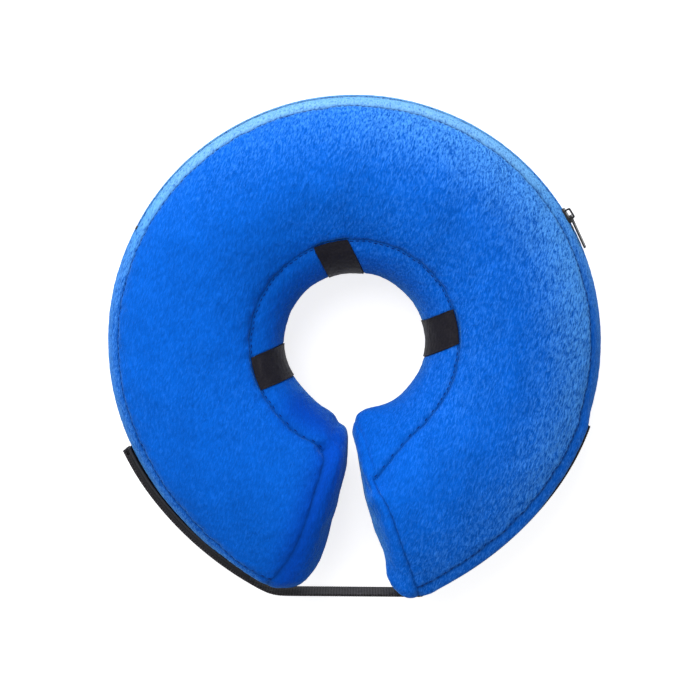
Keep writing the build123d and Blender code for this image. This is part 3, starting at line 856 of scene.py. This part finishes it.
def bend_with(piece, side):
    """Bakes a half piece's placement into its mesh; the crown, its arm and a reach each side of the bending plane are
    handed on to the baking, which does not use them.
    """
    angle = math.radians(90 + LOBES[side]["sign"] * BEND_TURN)
    middle = Vector((math.cos(angle), math.sin(angle), 0)) * 100 * MM
    onward = Vector((-math.sin(angle), math.cos(angle), 0)) * LOBES[side]["sign"]
    reach = onward * BLEND_HALF * MM
    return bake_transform(piece, "crown", f"{side}_arm", start=middle - reach, end=middle + reach)


def seam_shade(patch):
    """1 on a seam and 0 away from it, for the shader."""
    return np.exp(-patch.seam_distance / SEAM_SHADE_REACH)


def painted_sheen(patch):
    """Painted sheen for the shader: 0 where no light is painted in, and 1 and over where the colour is made paler as if
    lit from the crown and the right: on the panels and on the rim, a level that the heading in plan adds to, growing
    with the radius or the height, and an S-curve between the two."""
    x, y = np.moveaxis(unit(patch.plain[..., :2]), -1, 0)
    level, to_right, to_crown = PAINTED_SHEEN_PANEL
    panel = (0.14 + 0.44 * smooth(patch.reach, *PAINTED_SHEEN_RADII)) * (level + to_crown * y + to_right * x)
    level, to_right, to_crown = PAINTED_SHEEN_RIM
    rim = level + to_crown * smooth(y) + to_right * x
    rim = rim * (0.3 + 0.7 * smooth(patch.plain[..., 2], *PAINTED_SHEEN_RIM_HEIGHTS))
    return np.clip(panel + (rim - panel) * smooth(patch.reach, *PAINTED_SHEEN_RIM_RADII), 0, 1.5)


def painted_shade(patch):
    """Painted shade for the shader: 1 where the colour is darkened as if in shadow, along the left lobe's end: from the
    least distance in plan to the legs of the path."""
    plan = patch.plain[..., :2]
    gap = np.full(plan.shape[:-1], np.inf)
    for start, end in zip(PAINTED_SHADE_PATH[:-1], PAINTED_SHADE_PATH[1:]):
        leg = np.subtract(end, start)
        share = np.clip(((plan - start) @ leg) / (leg @ leg), 0, 1)[..., None]
        gap = np.minimum(gap, np.linalg.norm(plan - start - share * leg, axis=-1))
    return np.exp(-((gap / PAINTED_SHADE_REACH) ** 2))


def cover_piece(name, patch, side, nodes, **options):
    """A sheet of plush from a patch, with the measures that its shader reads, in place of its nodes."""
    # The measures for the shader: painted shade at the seams and on the left lobe's end, and painted sheen.
    attributes = {
        "seam_shade": seam_shade(patch), "painted_sheen": painted_sheen(patch), "painted_shade": painted_shade(patch) * (side == "left")}
    piece = shell(name, patch.points, patch.normals, SHEET, attributes=attributes, **options)
    dress(piece, plush_finish, "royal_blue_plush")
    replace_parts(piece, *nodes)
    return piece


# ======== Settings ========

class CollarPlush(bpy.types.PropertyGroup):
    colour: bpy.props.FloatVectorProperty(
        name="Plush colour", description="Colour of the pile where it stands up", subtype="COLOR_GAMMA",
        size=3, min=0, max=1, default=(0.01, 0.365, 0.80))
    # The colour of the painted sheen, which makes the pile paler where light is painted in.
    painted_sheen_colour: bpy.props.FloatVectorProperty(
        name="Brushed colour", description="Colour of the pile where the nap lies over", subtype="COLOR_GAMMA",
        size=3, min=0, max=1, default=(0.42, 0.72, 0.96))
    # The colour of the painted highlight, the palest where the painted sheen is strongest.
    painted_highlight_colour: bpy.props.FloatVectorProperty(
        name="Frost colour", description="Colour of the pile where it is brushed up most", subtype="COLOR_GAMMA",
        size=3, min=0, max=1, default=(0.56, 0.73, 0.86))
    # The colour of the painted shade on the left lobe's end.
    painted_shade_colour: bpy.props.FloatVectorProperty(
        name="Fall colour", description="Colour of the pile where it lies away from the light",
        subtype="COLOR_GAMMA", size=3, min=0, max=1, default=(0.005, 0.262, 0.705))
    sheen_tint: bpy.props.FloatVectorProperty(
        name="Sheen tint", description="Tint of the light along the pile's edge", subtype="COLOR_GAMMA",
        size=3, min=0, max=1, default=(0.50, 0.80, 1.0))
    thread_colour: bpy.props.FloatVectorProperty(
        name="Thread colour", description="Colour of the sewing thread", subtype="COLOR_GAMMA",
        size=3, min=0, max=1, default=(0.01, 0.09, 0.36))
    sheen: bpy.props.FloatProperty(name="Sheen", description="Strength of the sheen", default=0.55, min=0, max=1)
    pile_contrast: bpy.props.FloatProperty(
        name="Pile contrast", description="Contrast of the streaks in the pile", default=1.0, min=0, max=3)
    seam_depth: bpy.props.FloatProperty(
        name="Seam depth", description="How deep each seam is drawn in", default=2.0 * MM, unit="LENGTH")
    swell: bpy.props.FloatProperty(
        name="Swell", description="Height of the slow swells of the inflated cover", default=0.7 * MM, unit="LENGTH")
    crumple: bpy.props.FloatProperty(
        name="Crumple", description="Height of the small rumples in the cloth", default=0.16 * MM, unit="LENGTH")
    pucker: bpy.props.FloatProperty(
        name="Pucker", description="Height of the puckers along each seam", default=0.42 * MM, unit="LENGTH")
    tufts: bpy.props.FloatProperty(
        name="Tufts", description="Height of the tufts of the pile", default=0.09 * MM, unit="LENGTH")
    strap_swell: bpy.props.FloatProperty(
        name="Strap swell", description="How far the cloth stands out beside the strap", default=3.2 * MM,
        unit="LENGTH")


class CollarTrim(bpy.types.PropertyGroup):
    stitch_length: bpy.props.FloatProperty(
        name="Stitch length", description="Length of one visible stitch", default=2.4 * MM, unit="LENGTH")
    stitch_pitch: bpy.props.FloatProperty(
        name="Stitch pitch", description="Distance from stitch to stitch", default=3.5 * MM, unit="LENGTH")
    tooth_pitch: bpy.props.FloatProperty(
        name="Zipper pitch", description="Distance from tooth to tooth", default=1.5 * MM, unit="LENGTH")
    webbing_colour: bpy.props.FloatVectorProperty(
        name="Loop colour", description="Colour of the neck loops", subtype="COLOR_GAMMA",
        size=3, min=0, max=1, default=(0.10, 0.09, 0.13))
    strap_colour: bpy.props.FloatVectorProperty(
        name="Strap colour", description="Colour of the strap", subtype="COLOR_GAMMA",
        size=3, min=0, max=1, default=(0.05, 0.045, 0.055))


class CollarStage(bpy.types.PropertyGroup):
    distance: bpy.props.FloatProperty(
        name="Camera distance", description="From the camera to the ring's middle plane", default=1.1, unit="LENGTH")
    width: bpy.props.FloatProperty(
        name="Field width", description="Width of the picture at the ring's middle plane", default=0.427, unit="LENGTH")
    forward: bpy.props.FloatProperty(
        name="Camera offset", description="How far the camera stands towards the crown", default=0.058, unit="LENGTH")


# ======== Operators ========

def cover_half(name, side, nodes, ways, seams, tuck=0.0):
    """A cloth piece from the crown to one end seam, between two ways."""
    columns, rows, calm = COVER[name]
    patch = ring_patch(side, *ways, columns, rows, seams, calm, tuck)
    bend_with(cover_piece(f"{name}_cloth_{side}", patch, side, nodes), side)


class PanelsOperator(bpy.types.Operator):
    """Front and back plush panels, each in a left and a right half"""
    bl_idname = "recovery_collar.panels"
    bl_label = "Plush panels"

    def execute(self, context):
        for side in LOBES:
            for name, way in (("front_panel", FRONT), ("back_panel", BACK)):
                ways = (way, way + 1)
                cover_half(name, side, (f"{name}_crown", f"{name}_{side}"), ways, seams=ways)
        return {"FINISHED"}


class NeckBandOperator(bpy.types.Operator):
    """Plush band round the neck hole"""
    bl_idname = "recovery_collar.neck_band"
    bl_label = "Neck band"

    def execute(self, context):
        ways = (NECK, NECK + 1)
        for side in LOBES:
            nodes = ("neck_band_crown", f"neck_band_{side}")
            cover_half("neck_band", side, nodes, ways, seams=ways, tuck=BAND_TUCK)
        return {"FINISHED"}


def slot_half(side, columns):
    """Half the zipper slot's width at each station, closing by an S-curve past the zipper's end."""
    turn = np.linspace(0, 1, columns) * LOBES[side]["end"]
    return ZIPPER_SLOT / 2 * smooth((ZIPPER_TURN + 1 - turn) / ZIPPER_CLOSE) + SLOT_LEAST


class RimOperator(bpy.types.Operator):
    """Plush rim in two strips, with the zipper slot between them over the crown"""
    bl_idname = "recovery_collar.rim"
    bl_label = "Rim strips"

    def execute(self, context):
        for side in LOBES:
            half = slot_half(side, COVER["rim_front"][0])
            for name, ways, seam in (
                    ("rim_front", (RIM, rim_way(ZIPPER_HEIGHT + half)), RIM),
                    ("rim_back", (rim_way(ZIPPER_HEIGHT - half), RIM + 1), RIM + 1)):
                cover_half(name, side, (f"{name}_crown", f"rim_{side}"), ways, seams=(seam,))
        return {"FINISHED"}


class EndWallsOperator(bpy.types.Operator):
    """Swollen plush end walls that face each other across the slit"""
    bl_idname = "recovery_collar.end_walls"
    bl_label = "End walls"

    def execute(self, context):
        for side in LOBES:
            wall = end_patch(side)
            pole = wall.points[:, -1].mean(0)
            inward = wall.normals[:, -1].mean(0) * SHEET
            piece = cover_piece(
                f"end_wall_cloth_{side}", wall, side, (f"end_wall_{side}",), wrap=True, poles=(pole, pole - inward))
            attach(piece, f"{side}_arm")
        return {"FINISHED"}


def seam_run(side, way, before):
    """Points, directions and normals of the stitches along a seam, at a distance before it: the middle one of
    each stitch's four columns, with the direction from the one before it to the one after it."""
    pitch = bpy.context.scene.collar_trim.stitch_pitch / MM
    count = int(np.radians(LOBES[side]["end"]) * section_point(way)[0] / pitch)
    middle = way - before / side_length(way - 1)
    strip = ring_patch(side, middle - ROW_HALF, middle + ROW_HALF, count * 4 + 1, 3, (way,))
    start, points, end = (strip.points[first::4, 1][:count] for first in (1, 2, 3))
    along = unit(end - start)
    up = strip.normals[2::4, 1][:count]
    return points, along, unit(up - along * np.sum(up * along, 1, keepdims=True))


class StitchesOperator(bpy.types.Operator):
    """Rows of stitches beside the seams"""
    bl_idname = "recovery_collar.stitches"
    bl_label = "Stitches"

    def execute(self, context):
        size = (context.scene.collar_trim.stitch_length / MM, *STITCH_SECTION)
        for side in LOBES:
            for label, (way, before) in STITCH_ROWS.items():
                points, along, up = seam_run(side, way, before)
                points = points + up * STITCH_LIFT
                piece = repeated(f"{label}_seam_stitches_{side}", points, along, up, size, ring=6, rows=5)
                dress(piece, thread_finish, "navy_thread")
                bend_with(piece, side)
        return {"FINISHED"}


class NeckLoopsOperator(bpy.types.Operator):
    """Three skewed webbing loops across the neck band"""
    bl_idname = "recovery_collar.neck_loops"
    bl_label = "Neck loops"

    def execute(self, context):
        colour = context.scene.collar_trim.webbing_colour
        for name, (polar, skew) in LOOPS.items():
            piece = self.loop(name, math.radians(polar), math.radians(skew))
            dress(piece, webbing_finish, "black_ribbon_webbing", colour, 0.13, 0.9, 0.55)
            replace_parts(piece, f"neck_loop_{name}")
            if name == "right":
                bend_with(piece, "right")
            else:
                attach(piece, "crown" if name == "top" else "left_arm")
        return {"FINISHED"}

    def loop(self, name, polar, skew):
        """A strip of constant width whose middle line is straight in plan, laid on the neck band: from the
        foot of each lengthwise line, the run along it to the section's radius at that share of the band."""
        share = np.linspace(-LOOP_PAST, 1 + LOOP_PAST, LOOP_GRID[0])[:, None]
        width = np.linspace(-LOOP_WIDTH / 2, LOOP_WIDTH / 2, LOOP_GRID[1])[None, :]
        share, width = np.broadcast_arrays(share, width)
        centre, radius, start, sweep = SIDES_OF_SECTION[NECK]
        angle = start + sweep * share
        rho = centre[0] + radius * np.cos(angle)
        middle = heading(polar) * (NECK_RADIUS + INNER_SEAM[0]) / 2
        along = heading(polar + skew)
        foot = middle + width[..., None] * np.array([-along[1], along[0]])
        towards = foot @ along
        run = -towards + np.sqrt(towards**2 - np.sum(foot**2, -1) + rho**2)
        plan = foot + run[..., None] * along
        plain = raised(plan, centre[1] + radius * np.sin(angle))
        away = raised(unit(plan) * np.cos(angle)[..., None], np.sin(angle))
        seam = np.minimum(share, 1 - share).clip(0) * side_length(NECK)
        side = "right" if name == "right" else "left"
        lift = cloth_offset(side, plain, np.zeros_like(seam), seam, 0.8).clip(-1.8)
        lift = lift + LOOP_GAP + LOOP_THICKNESS * (1 - LOOP_EASE * np.abs(width / (LOOP_WIDTH / 2)) ** 14)
        surface = plain + away * lift[..., None]
        normals = grid_normals(surface)
        normals = normals * np.sign(np.sum(normals * away))
        measures = {"along": share * side_length(NECK), "across": width}
        return shell(f"neck_loop_webbing_{name}", surface, normals, LOOP_THICKNESS, attributes=measures)


class ZipperOperator(bpy.types.Operator):
    """Zipper tapes and coil teeth in the rim's slot, and the finish of the slider, pull and stops"""
    bl_idname = "recovery_collar.zipper"
    bl_label = "Zipper"

    def execute(self, context):
        pitch = context.scene.collar_trim.tooth_pitch / MM
        count = int(math.radians(2 * ZIPPER_TURN) * COIL_RADIUS / pitch)
        for label, sign in (("front", 1), ("back", -1)):
            turns = np.linspace(-ZIPPER_TURN, ZIPPER_TURN, TAPE_GRID[0])
            strip, normals = self.on_rim(turns, sign * np.linspace(*TAPE_EDGES, TAPE_GRID[1]), TAPE_DEPTH)
            piece = shell(f"zipper_tape_{label}", strip, normals, TAPE_THICKNESS)
            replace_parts(dress(piece, tape_finish, "navy_zipper_tape"), f"zipper_half_{label}")
            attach(piece, "crown")
            turns = np.linspace(TOOTH_MARGIN - ZIPPER_TURN, ZIPPER_TURN - TOOTH_MARGIN, count)
            turns = turns + sign / 4 * (turns[1] - turns[0])
            middle, up = (grid[:, 0] for grid in self.on_rim(turns, np.array([sign * TOOTH_SETBACK]), TOOTH_SETBACK))
            tangent = np.cross([0, 0, 1], unit(middle * [1, 1, 0]))
            across = np.cross(up, tangent)
            teeth = repeated(f"zipper_teeth_{label}", middle, across, up, TOOTH_SIZE, ring=8, rows=6, power=2.6)
            dress(teeth, tape_finish, "navy_zipper_tape")
            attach(teeth, "crown")
        for node in ("zipper_slider", "pull_tab", "zipper_stops"):
            dress(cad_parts[node], painted_metal_finish, "black_lacquered_metal")
        return {"FINISHED"}

    def on_rim(self, turns, rises, depth):
        """Points and normals at turns round the rim and rises above the zipper's middle, moved in by a depth
        from the rim's arc."""
        centre, radius = SIDES_OF_SECTION[RIM][:2]
        lean = np.arcsin((ZIPPER_HEIGHT + rises - centre[1]) / radius)[None, :]
        plan = heading(np.radians(90 + turns)[:, None])
        rho = centre[0] + (radius - depth) * np.cos(lean)
        points = raised(plan * rho[..., None], centre[1] + (radius - depth) * np.sin(lean))
        return points, raised(plan * np.cos(lean)[..., None], np.sin(lean))


def strap_line(side, first_turn, last_turn, beyond, count=90):
    """Plan points along a lobe's rim between two turns, at a distance outside it."""
    turns = np.linspace(first_turn, last_turn, count)
    centre, shift = turning_centre(side, turns)
    angle = np.radians(90 + LOBES[side]["sign"] * turns)
    return centre + heading(angle) * (shift + RIM_RADIUS + beyond)[:, None]


def resampled(line, count=None):
    """Lengths along a plan line at even steps, and the line's points there, straight between its own."""
    along = np.concatenate([[0], np.cumsum(np.linalg.norm(np.diff(line, axis=0), axis=1))])
    even = np.linspace(0, along[-1], count or int(along[-1] / STRIP_STEP))
    return even, np.stack([np.interp(even, along, values) for values in line.T], -1)


def strip_solid(name, line, thickness, width, rib=0.0, flip=1):
    """A flat strip on edge along a plan line, its outer face on the line: ribs across it are a cosine of the
    length along, and its edges thin by a high power of the share of the width."""
    even, line = resampled(line)
    tangent = unit(np.gradient(line, axis=0))
    away = np.stack([tangent[:, 1], -tangent[:, 0]], -1)[:, None, :] * flip
    heights = MID + np.linspace(-width / 2, width / 2, STRIP_ROWS)
    thin = thickness * STRIP_THINNING * np.abs(np.linspace(-1, 1, STRIP_ROWS)) ** 20
    ribs = rib * (0.5 + 0.5 * np.cos(2 * math.pi * even / RIB_PITCH))[:, None]
    plan = line[:, None, :] - away * (thin + ribs)[..., None]
    normals = raised(np.broadcast_to(away, plan.shape), 0.0)
    along, across = np.broadcast_arrays(even[:, None], heights)
    return shell(name, raised(plan, heights), normals, thickness, attributes={"along": along, "across": across})


class StrapOperator(bpy.types.Operator):
    """Strap of woven webbing with its hook patch, and the loop patch on the left lobe"""
    bl_idname = "recovery_collar.strap"
    bl_label = "Strap"

    def execute(self, context):
        layer = PATCH_GAP + PATCH_THICKNESS
        left_end = LOBES["left"]["end"]
        right_end = LOBES["right"]["end"] + STRAP_OVERRUN["right"]
        anchor = strap_line("right", STRAP_START["right"], right_end, PATCH_GAP + STRAP_THICKNESS)
        hooks = strap_line("left", STRAP_START["left"] + HOOK_SETBACK, left_end, 2 * layer)
        loops = strap_line("left", STRAP_START["left"], left_end, layer)
        left_end += STRAP_OVERRUN["left"]
        tail = strap_line("left", STRAP_START["left"], left_end, 2 * layer + STRAP_THICKNESS, 120)
        tail = self.eased(np.concatenate([tail, [anchor[-1] - [STRAP_END_GAP, 0]]]))
        webbing = (webbing_finish, "black_strap_webbing", context.scene.collar_trim.strap_colour, 0.5, 1.7, 0.6)
        strap = (STRAP_THICKNESS, STRAP_WIDTH, STRAP_RIB)
        for node, kind, body, line, size, finish in (
                ("strap_tail", "webbing", "strap", tail, strap, webbing),
                ("strap_anchor", "webbing", "right_arm", anchor, (*strap, -1), webbing),
                ("hook_patch", "tape", "strap", hooks, (PATCH_THICKNESS, STRAP_WIDTH - 1),
                    (pile_patch_finish, "hook_tape", 1600, 0.0008)),
                ("loop_patch", "tape", "left_arm", loops, (PATCH_THICKNESS, STRAP_WIDTH),
                    (pile_patch_finish, "loop_tape", 900, 0.001))):
            piece = dress(strip_solid(f"{node}_{kind}", line, *size), *finish)
            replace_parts(piece, node)
            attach(piece, body)
        return {"FINISHED"}

    def eased(self, line):
        """The line with its corner rounded: each point is a weighted mean of those near it along the line."""
        even, dense = resampled(line, 400)
        half = int(STRAP_CORNER / even[1])
        window = np.hanning(2 * half + 3)[1:-1]
        window /= window.sum()
        padded = np.pad(dense, ((half, half), (0, 0)), mode="reflect", reflect_type="odd")
        return np.stack([np.convolve(values, window, "valid") for values in padded.T], -1)


class BladderOperator(bpy.types.Operator):
    """Welded air bladder inside the cover, in a left and a right half"""
    bl_idname = "recovery_collar.bladder"
    bl_label = "Air bladder"

    def execute(self, context):
        middle = sum(WELD_RADII) / 2
        bulge = MID - CLOTH - BLADDER_TOP_GAP - BLADDER_SLACK
        station = np.linspace(0, 1, BLADDER_GRID[0])[:, None]
        around = np.linspace(0, 2 * math.pi, BLADDER_GRID[1], endpoint=False)[None, :]
        rise = np.sin(around)
        shrink = 1 - BLADDER_TAPER * station**24
        radius = middle + (WELD_RADII[1] - middle) * np.cos(around) * shrink
        height = MID + bulge * powered(rise, LENS_POWER) * shrink
        for side in LOBES:
            points = place(side, station, radius, height)
            centres = place(side, station, middle, MID)
            wrapped = np.concatenate([points[:, -1:], points, points[:, :1]], 1)
            normals = outward(points, grid_normals(wrapped)[:, 1:-1], centres)
            crease = waves(points * CREASE_STRETCH, *CREASE_WAVES) * CREASE_HEIGHT * np.exp(-np.abs(rise) * 6)
            points = points + normals * (crease - BLADDER_SLACK)[..., None]
            hollow = np.minimum(hump_height(side, points), 0) * HOLLOW_ROOM
            points = points + unit(points - centres) * hollow[..., None] + pull(side, points)
            across, normals = points.transpose(1, 0, 2), normals.transpose(1, 0, 2)
            piece = shell(f"bladder_sheet_{side}", across, normals, BLADDER_WALL, wrap=True)
            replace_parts(dress(piece, clear_vinyl_finish, "clear_vinyl"), "bladder_crown", f"bladder_{side}")
            bend_with(piece, side)
        return {"FINISHED"}


class ValveOperator(bpy.types.Operator):
    """Finish of the valve's base, stem and plug"""
    bl_idname = "recovery_collar.valve"
    bl_label = "Valve"

    def execute(self, context):
        for node in ("valve_base", "valve_stem", "valve_plug"):
            dress(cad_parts[node], moulded_finish, "moulded_valve_plastic")
        return {"FINISHED"}


class StageOperator(bpy.types.Operator):
    """Pale floor, soft lights and the camera over the collar"""
    bl_idname = "recovery_collar.stage"
    bl_label = "Stage"

    def execute(self, context):
        stage = context.scene.collar_stage
        self.floor()
        for name, (place_at, size, power) in LIGHTS.items():
            self.light(name, place_at, size, power)
        self.world()
        camera = linked("camera", bpy.data.cameras.new("camera"))
        aim = Vector(CAMERA_AIM)
        camera.location = aim + Vector((0, stage.forward, stage.distance))
        back = (camera.location - aim).normalized()
        right = Vector((0, 1, 0)).cross(back).normalized()
        camera.rotation_euler = Matrix((right, back.cross(right), back)).transposed().to_euler()
        camera.data.sensor_width = SENSOR
        camera.data.lens = SENSOR * stage.distance / stage.width
        context.scene.camera = camera
        context.scene.view_settings.view_transform = "Standard"
        return {"FINISHED"}

    def in_view(self, tree):
        """1 for rays that show the backdrop: from the camera, off gloss and through glass."""
        ray = tree.nodes.new("ShaderNodeLightPath")
        seen, glossy, through = (
            Value(ray.outputs[name]) for name in ("Is Camera Ray", "Is Glossy Ray", "Is Transmission Ray"))
        return (seen + glossy + through).clamped()

    def floor(self):
        """A wide flat square just under the collar, that glows only in rays that show the backdrop."""
        finish = Finish("white_floor")
        glow = finish.blend(self.in_view(finish.tree), (0, 0, 0, 1), (0.78, 0.78, 0.78, 1))
        finish.set(Base_Color=(0.6, 0.6, 0.6, 1), Roughness=0.9, Specular_IOR_Level=0.0)
        finish.set(Emission_Color=glow, Emission_Strength=1.0)
        mesh = bpy.data.meshes.new("floor")
        corners = [(x * FLOOR_HALF, y * FLOOR_HALF, -FLOOR_DROP) for x, y in ((-1, -1), (1, -1), (1, 1), (-1, 1))]
        mesh.from_pydata(corners, [], [(0, 1, 2, 3)])
        mesh.materials.append(finish.material)
        linked("floor", mesh)

    def light(self, name, place_at, size, power):
        """A round area light that faces the collar's middle."""
        data = bpy.data.lights.new(name, "AREA")
        data.shape, data.size, data.energy = "DISK", size, power
        light = linked(name, data)
        light.location = place_at
        light.rotation_euler = (-Vector(place_at)).to_track_quat("-Z", "Y").to_euler()

    def world(self):
        """White surroundings: full strength in rays that show the backdrop, and less as light."""
        world = bpy.data.worlds.new("soft_room")
        bpy.context.scene.world = world
        world.use_nodes = True
        background = world.node_tree.nodes["Background"]
        background.inputs["Color"].default_value = (1, 1, 1, 1)
        shown = self.in_view(world.node_tree) * (1 - WORLD_LIGHT) + WORLD_LIGHT
        feed(background.inputs["Strength"], shown)


class CollarPanel(bpy.types.Panel):
    """Every setting of the collar, and a button for each group of pieces"""
    bl_idname = "VIEW3D_PT_recovery_collar"
    bl_label = "Recovery collar"
    bl_space_type = "VIEW_3D"
    bl_region_type = "UI"
    bl_category = "Collar"

    def draw(self, context):
        for group in GROUPS:
            settings = getattr(context.scene, group)
            for key in settings.__annotations__:
                self.layout.prop(settings, key)
        for operator in OPERATORS:
            self.layout.operator(operator.bl_idname)


OPERATORS = (
    StageOperator, PanelsOperator, NeckBandOperator, RimOperator, EndWallsOperator, StitchesOperator,
    NeckLoopsOperator, ZipperOperator, StrapOperator, BladderOperator, ValveOperator,
)
GROUPS = {"collar_plush": CollarPlush, "collar_trim": CollarTrim, "collar_stage": CollarStage}
CLASSES = (*GROUPS.values(), *OPERATORS, CollarPanel)


def register():
    """Adds the settings to the scene, and the operators and the panel."""
    for part in CLASSES:
        bpy.utils.register_class(part)
    for key, group in GROUPS.items():
        setattr(bpy.types.Scene, key, bpy.props.PointerProperty(type=group))


def unregister():
    """Takes away what register adds, in the opposite order."""
    for key in GROUPS:
        delattr(bpy.types.Scene, key)
    for part in reversed(CLASSES):
        bpy.utils.unregister_class(part)


def main():
    """Builds every group of pieces."""
    register()
    for operator in OPERATORS:
        name = operator.bl_idname.split(".")[1]
        getattr(bpy.ops.recovery_collar, name)()


if __name__ == "__main__":
    main()
